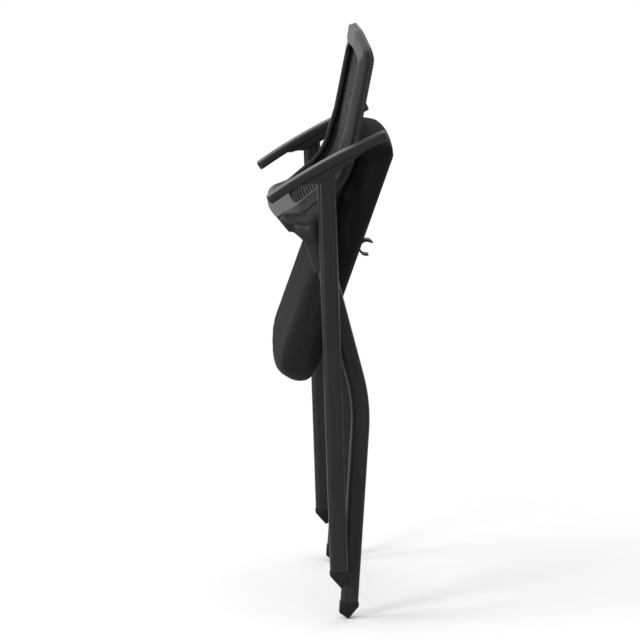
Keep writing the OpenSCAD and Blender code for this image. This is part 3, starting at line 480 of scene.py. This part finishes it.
def side_line(corners):
    """Half width against height along one side of an outline, for lookup."""
    return [(corners[k].y, corners[k].x) for k in (1, 2, 3, 4)]


OUTER = outline(0, 0, 0, TOP_CUT, FOOT_CUT)
INNER = outline(MEMBER_W, RAIL_W, MEMBER_W, HOLE_CUT, HOLE_FOOT_CUT)
WALK_STEPS = (22, 2, 56, 9, 9, 9, 56, 2)
OUTER_WALK = rounded_walk(OUTER, (4, 4, 4, 16, 26, 26, 16, 4), WALK_STEPS)
INNER_WALK = rounded_walk(INNER, (6, 6, 6, 10, 20, 20, 10, 6), WALK_STEPS)


def ridge_at(v):
    """How far the ridge stands behind the frame's side."""
    return lookup(v, RIDGE_TABLE) - SIDE_DEPTH


def foot_at(v):
    """Share of the ridge that the outer edge has: all along the foot, none beside the mesh."""
    return lookup(v, ((FOOT_CUT, 1.0), (RAIL_W, 0.0)))


def back_ring(section, width):
    """Sweeps a section round the back and rounds its edges."""
    bm = bmesh.new()
    rows = []
    for outer, inner in zip(OUTER_WALK, INNER_WALK):
        row = []
        for share, depth, ridge, foot in section:
            spot = outer.lerp(inner, share)
            ridge = max(ridge, foot * foot_at(outer.y))
            row.append(back_point(spot.x, spot.y, depth + ridge * ridge_at(spot.y)))
        rows.append(row)
    loft(bm, rows, closed_rows=True)
    bmesh.ops.recalc_face_normals(bm, faces=bm.faces)
    round_edges(bm, width, RING_ANGLE)
    return bm


def add_loops(bm):
    """The knit's coarse loops, wrapped round the carrier's outer edge on both sides."""
    line = side_line(OUTER)
    for k in range(int((BACK_LEN - LOOP_END_GAP - LOOP_START) / LOOP_PITCH)):
        v = LOOP_START + k * LOOP_PITCH
        for side in (-1, 1):
            rows = []
            for along, high in LOOP_STEPS:
                half = lookup(v + along, line)
                path = ((-LOOP_FACE_LEG, -high), (-0.5, -high), (high, 0.8), (high, LOOP_SIDE_LEG),
                    (-1.5, LOOP_SIDE_LEG), (-1.5, LOOP_T), (-LOOP_FACE_LEG, LOOP_T))
                rows.append([back_point(side * (half + u), v + along, w) for u, w in path])
            loft(bm, rows)
    bmesh.ops.recalc_face_normals(bm, faces=bm.faces)


def make_back():
    make_piece("back_frame_moulded", back_ring(FRAME_SECTION, FRAME_ROUND), "back",
        "front_frame", ["back_frame"])
    carrier = back_ring(WRAP_SECTION, WRAP_ROUND)
    add_loops(carrier)
    make_piece("back_carrier_wrapped", carrier, "wrap", "front_frame",
        ["back_carrier"])


def make_ribs():
    """The mesh: ribs across the back that follow its bow, joined by two slim ties."""
    bm = bmesh.new()
    mesh_line = side_line([a.lerp(b, CLAMP_SHARE) for a, b in zip(OUTER, INNER)])
    hole_line = side_line(INNER)
    first, last = RAIL_W + RIB_GAP, BACK_LEN - MEMBER_W - RIB_GAP
    for i in range(int((last - first) / RIB_PITCH) + 1):
        v = first + RIB_W / 2 + i * RIB_PITCH
        half = lookup(v, mesh_line)
        edge = lookup(v, hole_line) + RIB_OVERLAP
        free = [edge * (k / RIB_STEPS - 1) * 0.997 for k in range(2 * RIB_STEPS + 1)]
        rows = []
        for u in [-half, -edge] + free + [edge, half]:
            thick = RIB_T / 2 if abs(u) < edge else CLAMP_HALF_T
            rows.append([back_point(u, v + a * RIB_W / 2, MESH_MID + b * thick)
                for a, b in RIB_RIM])
        loft(bm, rows)
    for sign in (-1, 1):
        rows = []
        for k in range(TIE_STEPS + 1):
            v = first - 3.0 + (last - first + 4.0) * k / TIE_STEPS
            u = sign * (lookup(v, hole_line) - 4.0) / 3
            rows.append([back_point(u + a, v, MESH_MID + b) for a, b in TIE_RIM])
        loft(bm, rows)
    ribs = make_piece("back_mesh_ribs", bm, "mesh", "front_frame", ["back_mesh"], 60)


def on_pad(x, z):
    a = math.radians(PAD_SLOPE)
    return (PAD_CENTRE[0] + x * math.cos(a) - z * math.sin(a),
        PAD_CENTRE[1] + x * math.sin(a) + z * math.cos(a))


def dip(d, radius):
    """How far a rounded end has drawn in, d from its tip."""
    if d >= radius:
        return 0.0
    return radius - math.sqrt(max(0.0, radius * radius - (radius - d) ** 2))


def make_pad(side, name):
    bm = bmesh.new()
    end = PAD_END_STEPS[-1]
    runs = list(PAD_END_STEPS)
    runs += [end + (PAD_LEN - 2 * end) * k / PAD_STEPS for k in range(1, PAD_STEPS)]
    runs += [PAD_LEN - d for d in reversed(PAD_END_STEPS)]
    rows = []
    for run in runs:
        d = min(run, PAD_LEN - run)
        angle = (run - PAD_LEN / 2) / PAD_R
        half_w = PAD_W / 2 - dip(d, PAD_END_R)
        draw = dip(d, PAD_DRAW_R)
        low, high = draw * PAD_LOW_SHARE, PAD_T - draw
        r = min(PAD_EDGE_R, (high - low) / 2 - 0.2, half_w - 0.2)
        row = []
        for cy, cz, a0 in ((half_w - r, high - r, 0), (r - half_w, high - r, 90),
                (r - half_w, low + r, 180), (half_w - r, low + r, 270)):
            for k in range(6):
                a = math.radians(a0 + 18 * k)
                y, h = cy + r * math.cos(a), cz + r * math.sin(a)
                x = (PAD_R + h) * math.sin(angle)
                z = (PAD_R + h) * math.cos(angle) - PAD_R
                spot = on_pad(x, z)
                row.append(place(spot[0], side * REAR_Y + y, spot[1]))
        rows.append(row)
    loft(bm, rows)
    make_piece("arm_pad_%s_skinned" % name, bm, "pad", "rear_frame",
        ["arm_pad_" + name], 50)


def grow(piece, modifier, **settings):
    mod = piece.modifiers.new(modifier.lower(), modifier)
    for key, value in settings.items():
        setattr(mod, key, value)
    return mod


def bake(piece):
    """Applies every modifier of a piece."""
    graph = bpy.context.evaluated_depsgraph_get()
    mesh = bpy.data.meshes.new_from_object(piece.evaluated_get(graph))
    old = piece.data
    piece.modifiers.clear()
    piece.data = mesh
    bpy.data.meshes.remove(old)
    return mesh


def on_upper(x, z):
    a = math.radians(UPPER_TUBE_LEAN)
    return (x * math.cos(a) - z * math.sin(a), x * math.sin(a) + z * math.cos(a))


def cheek(v, w):
    a = math.radians(lean_at(v))
    spot = curve_at(v)
    return (spot.x - w * math.cos(a), spot.y + w * math.sin(a))


def hill(x, z, centre, size, tilt):
    """A smooth rise round a centre, longer along its tilt."""
    t = math.radians(tilt)
    dx, dz = x - centre[0], z - centre[1]
    a = dx * math.cos(t) + dz * math.sin(t)
    b = dz * math.cos(t) - dx * math.sin(t)
    return math.exp(-(a / size[0]) ** 2 - (b / size[1]) ** 2)


def cheek_line(parts, w):
    """Points down the cheek from its upper end to the rail."""
    return [cheek(RAIL_W + (CHEEK_LEN - RAIL_W) * k / parts, w) for k in range(parts, -1, -1)]


def edge_points():
    """The line along which the arm runs into the back: down the cheek and over the ear."""
    corners = cheek_line(EDGE_PARTS, SIDE_DEPTH) + EAR_LINE
    return [(a[0] + (b[0] - a[0]) * k / EDGE_STEPS, a[1] + (b[1] - a[1]) * k / EDGE_STEPS)
        for a, b in zip(corners, corners[1:]) for k in range(EDGE_STEPS + 1)]


def arm_face(x, z, edge):
    """How far out the arm's side stands: it sinks into the back, with a swelling below."""
    near = min(math.hypot(x - a, z - b) for a, b in edge)
    rise = min(1.0, near / FACE_RUN)
    face = FACE_SUNK + FACE_RISE * rise * rise * (3 - 2 * rise)
    for height, centre, size, tilt in ARM_RELIEF:
        face += height * hill(x, z, centre, size, tilt)
    lean = math.radians(UPPER_TUBE_LEAN)
    if z < SLEEVE_TOP:
        face -= SLEEVE_DRAW * ((x * math.cos(lean) + z * math.sin(lean)) / SLEEVE_R) ** 2
    return face


def make_back_arm(side, name):
    """The moulded arm under the back: a sleeve, a swelling and a cheek that sinks into the back."""
    profile = cheek_line(CHEEK_STEPS, SIDE_DEPTH - CHEEK_SINK)
    profile += [cheek(RAIL_W * a, EAR_DEPTH * b) for a, b in EAR_SHARES]
    profile += ARM_UNDERSIDE
    profile += [on_upper(SLEEVE_HALF, z) for z in SLEEVE_ENDS] + [cheek(CHEEK_LEN, -2)]
    bm = bmesh.new()
    near = [bm.verts.new(place(x, side * ARM_IN, z)) for x, z in profile]
    far = [bm.verts.new(place(x, side * ARM_OUT, z)) for x, z in profile]
    n = len(profile)
    bm.faces.new(near)
    bm.faces.new(far)
    for k in range(n):
        bm.faces.new((near[k], near[(k + 1) % n], far[(k + 1) % n], far[k]))
    bmesh.ops.recalc_face_normals(bm, faces=bm.faces)
    bmesh.ops.triangulate(bm, faces=[f for f in bm.faces if len(f.verts) > 4])
    piece = make_piece("back_arm_%s_moulded" % name, bm, "back", "front_frame",
        ["back_arm_" + name])
    grow(piece, "REMESH", mode="VOXEL", voxel_size=ARM_VOXEL * MM, use_smooth_shade=True)
    mesh = bake(piece)
    edge = edge_points()
    for vert in mesh.vertices:
        x, z = (vert.co.x - PIVOT.x) / MM, (vert.co.z - PIVOT.z) / MM
        share = (arm_face(x, z, edge) - ARM_IN) / ARM_T
        vert.co.y = side * (ARM_IN + (abs(vert.co.y) / MM - ARM_IN) * share) * MM
    mesh.update()
    grow(piece, "SMOOTH", factor=0.5, iterations=9)
    bake(piece)


def seat_place(x, y, z):
    """A point in the seat's own frame: x to the front from the rod, z up from it."""
    a = math.radians(SEAT_LEAN)
    turned = (x * math.sin(a) - z * math.cos(a), y, x * math.cos(a) + z * math.sin(a))
    return ROD + Vector(turned) * MM


def bowed(x, y):
    """Moves a point of the seat's outline with the bow of its front or rear edge."""
    bow = FRONT_BOW if x > 0 else -REAR_BOW
    return x + bow * (1 - (2 * y / SEAT_W) ** 2) * 2 * abs(x) / SEAT_DEPTH


def seat_ring(inset, side_inset, z_of):
    """The seat's outline, drawn in at the ends and the sides, at the heights that z_of gives."""
    hx, hy = SEAT_DEPTH / 2 - inset, SEAT_W / 2 - side_inset
    f, r = max(FRONT_CORNER - inset, LEAST_CORNER), max(SEAT_CORNER - inset, LEAST_CORNER)
    points = []
    for cx, cy, radius, a0 in ((hx - f, hy - f, f, 0), (r - hx, hy - r, r, 90),
            (r - hx, r - hy, r, 180), (hx - f, f - hy, f, 270)):
        for k in range(CORNER_STEPS + 1):
            a = math.radians(a0 + 90 * k / CORNER_STEPS)
            points.append((cx + radius * math.cos(a), cy + radius * math.sin(a)))
    full = []
    for i, (x, y) in enumerate(points):
        full.append((x, y))
        if i % (CORNER_STEPS + 1) == CORNER_STEPS:
            nx, ny = points[(i + 1) % len(points)]
            full += [(x + (nx - x) * k / SIDE_STEPS, y + (ny - y) * k / SIDE_STEPS)
                for k in range(1, SIDE_STEPS)]
    full = [(bowed(x, y) + SEAT_MID, y) for x, y in full]
    return [seat_place(x, y, z_of(x)) for x, y in full]


def fall_at(x):
    """How far the seat's top falls towards its front."""
    start = SEAT_MID * FALL_START
    return SEAT_FALL * max(0.0, (x - start) / (SEAT_FRONT - start)) ** FALL_POWER


def cushion_rings():
    """Each ring: inset at the ends, inset at the sides, height and share of the crown."""
    skirt = PAN_INSET - SKIRT_GAP
    start = math.degrees(math.asin(1 - skirt / UNDER_R))
    rings = [(skirt, skirt, CUSHION_BASE, 0.0)]
    for k in range(UNDER_STEPS + 1):
        a = math.radians(start + (90 - start) * k / UNDER_STEPS)
        inset = UNDER_R * (1 - math.sin(a))
        rings.append((inset, inset, SEAT_LIFT + UNDER_R * (1 - math.cos(a)), 0.0))
    for k in range(UPPER_STEPS):
        a = math.radians(UPPER_TURN * k)
        inset = UPPER_R * (1 - math.cos(a))
        rings.append((inset, inset * SIDE_SHARE, CUSHION_TOP - UPPER_R * (1 - math.sin(a)), 0.0))
    return rings + [(inset, side, CUSHION_TOP, share) for inset, side, share in CROWN_RINGS]


def make_cushion():
    """The seat: a crowned pad whose cover is puffed by a short cloth run."""
    bm = bmesh.new()
    rows = []
    for inset, side_inset, z, crown in cushion_rings():
        share = max(0.0, (z - CUSHION_BASE) / (CUSHION_TOP - CUSHION_BASE))
        rows.append(seat_ring(inset, side_inset,
            lambda x: z + CROWN * crown - share * fall_at(x)))
    loft(bm, rows)
    cushion = make_piece("seat_cushion_sewn", bm, "cover", "seat",
        ["seat_cushion"], 180)
    grow(cushion, "REMESH", mode="VOXEL", voxel_size=CUSHION_VOXEL * MM, use_smooth_shade=True)
    bake(cushion)
    puff(cushion)
    grow(cushion, "SMOOTH", factor=0.5, iterations=2)
    grow(cushion, "SUBSURF", levels=1, render_levels=1)
    mesh = bake(cushion)
    mesh.polygons.foreach_set("use_smooth", [True] * len(mesh.polygons))


def puff(cushion):
    """Lets the cover swell a few millimetres under pressure, held where it meets the pan."""
    start = [v.co.copy() for v in cushion.data.vertices]
    base = math.radians(SEAT_LEAN)
    up = Vector((-math.cos(base), 0, math.sin(base)))
    pins = cushion.vertex_groups.new(name="held")
    for vert in cushion.data.vertices:
        height = (vert.co - ROD).dot(up) / MM
        if height < CUSHION_BASE + PUFF_HELD:
            pins.add([vert.index], 1.0, "REPLACE")
    cloth = grow(cushion, "CLOTH")
    cloth.settings.effector_weights.gravity = 0.0
    cloth.settings.use_pressure = True
    cloth.settings.uniform_pressure_force = PUFF_FORCE
    cloth.settings.vertex_group_mass = "held"
    cloth.settings.tension_stiffness = PUFF_STIFF
    cloth.settings.compression_stiffness = PUFF_STIFF
    cloth.settings.bending_stiffness = PUFF_BEND
    scene = bpy.context.scene
    for step in range(1, PUFF_STEPS + 1):
        scene.frame_set(step)
    mesh = bake(cushion)
    cushion.vertex_groups.clear()
    for vert, was in zip(mesh.vertices, start):
        move = vert.co - was
        if move.length > PUFF_CAP * MM:
            move *= PUFF_CAP * MM / move.length
        vert.co = was + move
    mesh.update()
    scene.frame_set(1)


def taper_arc(a0, a1, r0, r1, steps):
    """Points along an arc whose radius changes evenly on its way."""
    points = []
    for k in range(steps + 1):
        a = math.radians(a0 + (a1 - a0) * k / steps)
        r = r0 + (r1 - r0) * k / steps
        points.append((r * math.cos(a), r * math.sin(a)))
    return points


def make_clips():
    """Snap clips with tapered prongs that grip the front crossbar, one either side."""
    top = SEAT_LIFT - CLIP_PLACE[1]
    under = top - CLIP_PLATE_T
    shape = [(CLIP_PLATE, top), (CLIP_PLATE, under), (CLIP_NECK, under)]
    for arc in CLIP_ARCS:
        shape += taper_arc(*arc)
    shape += [(-CLIP_NECK, under), (-CLIP_PLATE, under), (-CLIP_PLATE, top)]
    for name, side in SIDES.items():
        bm = bmesh.new()
        rows = [[seat_place(x + CLIP_PLACE[0], side * CLIP_Y + edge * CLIP_W / 2, z + CLIP_PLACE[1])
            for x, z in shape] for edge in (-1, 1)]
        loft(bm, rows)
        bmesh.ops.recalc_face_normals(bm, faces=bm.faces)
        round_edges(bm, CLIP_ROUND, CLIP_ANGLE)
        bmesh.ops.triangulate(bm, faces=[f for f in bm.faces if len(f.verts) > 4])
        make_piece("seat_clip_%s_moulded" % name, bm, "plastic", "seat",
            ["seat_clips"])


# Camera, light and floor

def add_camera():
    camera = bpy.data.objects.new("camera", bpy.data.cameras.new("camera"))
    bpy.context.scene.collection.objects.link(camera)
    camera.location = CAMERA_PLACE
    camera.rotation_euler = (math.radians(90 - CAMERA_ELEVATION), 0, math.radians(CAMERA_AZIMUTH))
    camera.data.lens = CAMERA_LENS
    camera.data.sensor_width = CAMERA_SENSOR
    camera.data.clip_end = CAMERA_REACH
    bpy.context.scene.camera = camera


def add_area(name, spot, target, size, power):
    light = bpy.data.lights.new(name, "AREA")
    light.shape = "RECTANGLE"
    light.size, light.size_y = size
    light.energy = power
    lamp = bpy.data.objects.new(name, light)
    bpy.context.scene.collection.objects.link(lamp)
    lamp.location = spot
    lamp.rotation_euler = (Vector(target) - Vector(spot)).to_track_quat("-Z", "Y").to_euler()


def add_world():
    """Lights the scene softly, while the camera and reflections see plain white."""
    world = bpy.data.worlds.new("studio")
    bpy.context.scene.world = world
    world.use_nodes = True
    nodes, links = world.node_tree.nodes, world.node_tree.links
    nodes.clear()
    out = nodes.new("ShaderNodeOutputWorld")
    mix = nodes.new("ShaderNodeMixShader")
    path = nodes.new("ShaderNodeLightPath")
    soft = nodes.new("ShaderNodeBackground")
    seen = nodes.new("ShaderNodeBackground")
    soft.inputs["Color"].default_value = (1, 1, 1, 1)
    soft.inputs["Strength"].default_value = WORLD_LEVEL
    seen.inputs["Color"].default_value = (1, 1, 1, 1)
    seen.inputs["Strength"].default_value = 1.0
    seeing = nodes.new("ShaderNodeMath")
    seeing.operation = "MAXIMUM"
    links.new(path.outputs["Is Camera Ray"], seeing.inputs[0])
    links.new(path.outputs["Is Glossy Ray"], seeing.inputs[1])
    links.new(seeing.outputs[0], mix.inputs[0])
    links.new(soft.outputs[0], mix.inputs[1])
    links.new(seen.outputs[0], mix.inputs[2])
    links.new(mix.outputs[0], out.inputs[0])


def add_floor():
    """A white floor that keeps the soft shadow and fades into the white background."""
    mesh = bpy.data.meshes.new("floor")
    h = FLOOR_HALF
    mesh.from_pydata([(-h, -h, 0), (h, -h, 0), (h, h, 0), (-h, h, 0)], [], [(0, 1, 2, 3)])
    floor = bpy.data.objects.new("floor", mesh)
    bpy.context.scene.collection.objects.link(floor)
    mat, nodes, links, bsdf = shader("floor_paint")
    bsdf.inputs["Base Color"].default_value = (FLOOR_WHITE, FLOOR_WHITE, FLOOR_WHITE, 1)
    bsdf.inputs["Roughness"].default_value = FLOOR_ROUGH
    spot = nodes.new("ShaderNodeTexCoord")
    reach = nodes.new("ShaderNodeVectorMath")
    reach.operation = "LENGTH"
    fade = nodes.new("ShaderNodeMapRange")
    fade.inputs["From Min"].default_value = FLOOR_FADE[0]
    fade.inputs["From Max"].default_value = FLOOR_FADE[1]
    clear = nodes.new("ShaderNodeBsdfTransparent")
    mix = nodes.new("ShaderNodeMixShader")
    links.new(spot.outputs["Object"], reach.inputs[0])
    links.new(reach.outputs["Value"], fade.inputs["Value"])
    links.new(fade.outputs["Result"], mix.inputs[0])
    glow = nodes.new("ShaderNodeEmission")
    glow.inputs["Strength"].default_value = FLOOR_GLOW
    both = nodes.new("ShaderNodeAddShader")
    links.new(bsdf.outputs[0], both.inputs[0])
    links.new(glow.outputs[0], both.inputs[1])
    links.new(both.outputs[0], mix.inputs[1])
    links.new(clear.outputs[0], mix.inputs[2])
    out = next(node for node in nodes if node.type == "OUTPUT_MATERIAL")
    links.new(mix.outputs[0], out.inputs[0])
    mesh.materials.append(mat)


add_camera()
add_world()
for light in LIGHTS:
    add_area(*light)
add_floor()
dress_nodes()
make_back()
make_ribs()
for side_name, side in SIDES.items():
    make_pad(side, side_name)
    make_back_arm(side, side_name)
    softened("arm_bracket_" + side_name, BRACKET_ROUND, "plastic", "rear_frame")
    softened("rear_foot_" + side_name, FOOT_ROUND, "foot", "rear_frame")
    softened("front_foot_" + side_name, FOOT_ROUND, "foot", "front_frame")
softened("seat_pan", PAN_ROUND, "plastic", "seat")
softened("seat_hinges", HINGE_ROUND, "plastic", "seat")
make_clips()
make_cushion()
bpy.context.scene.view_settings.view_transform = "Standard"
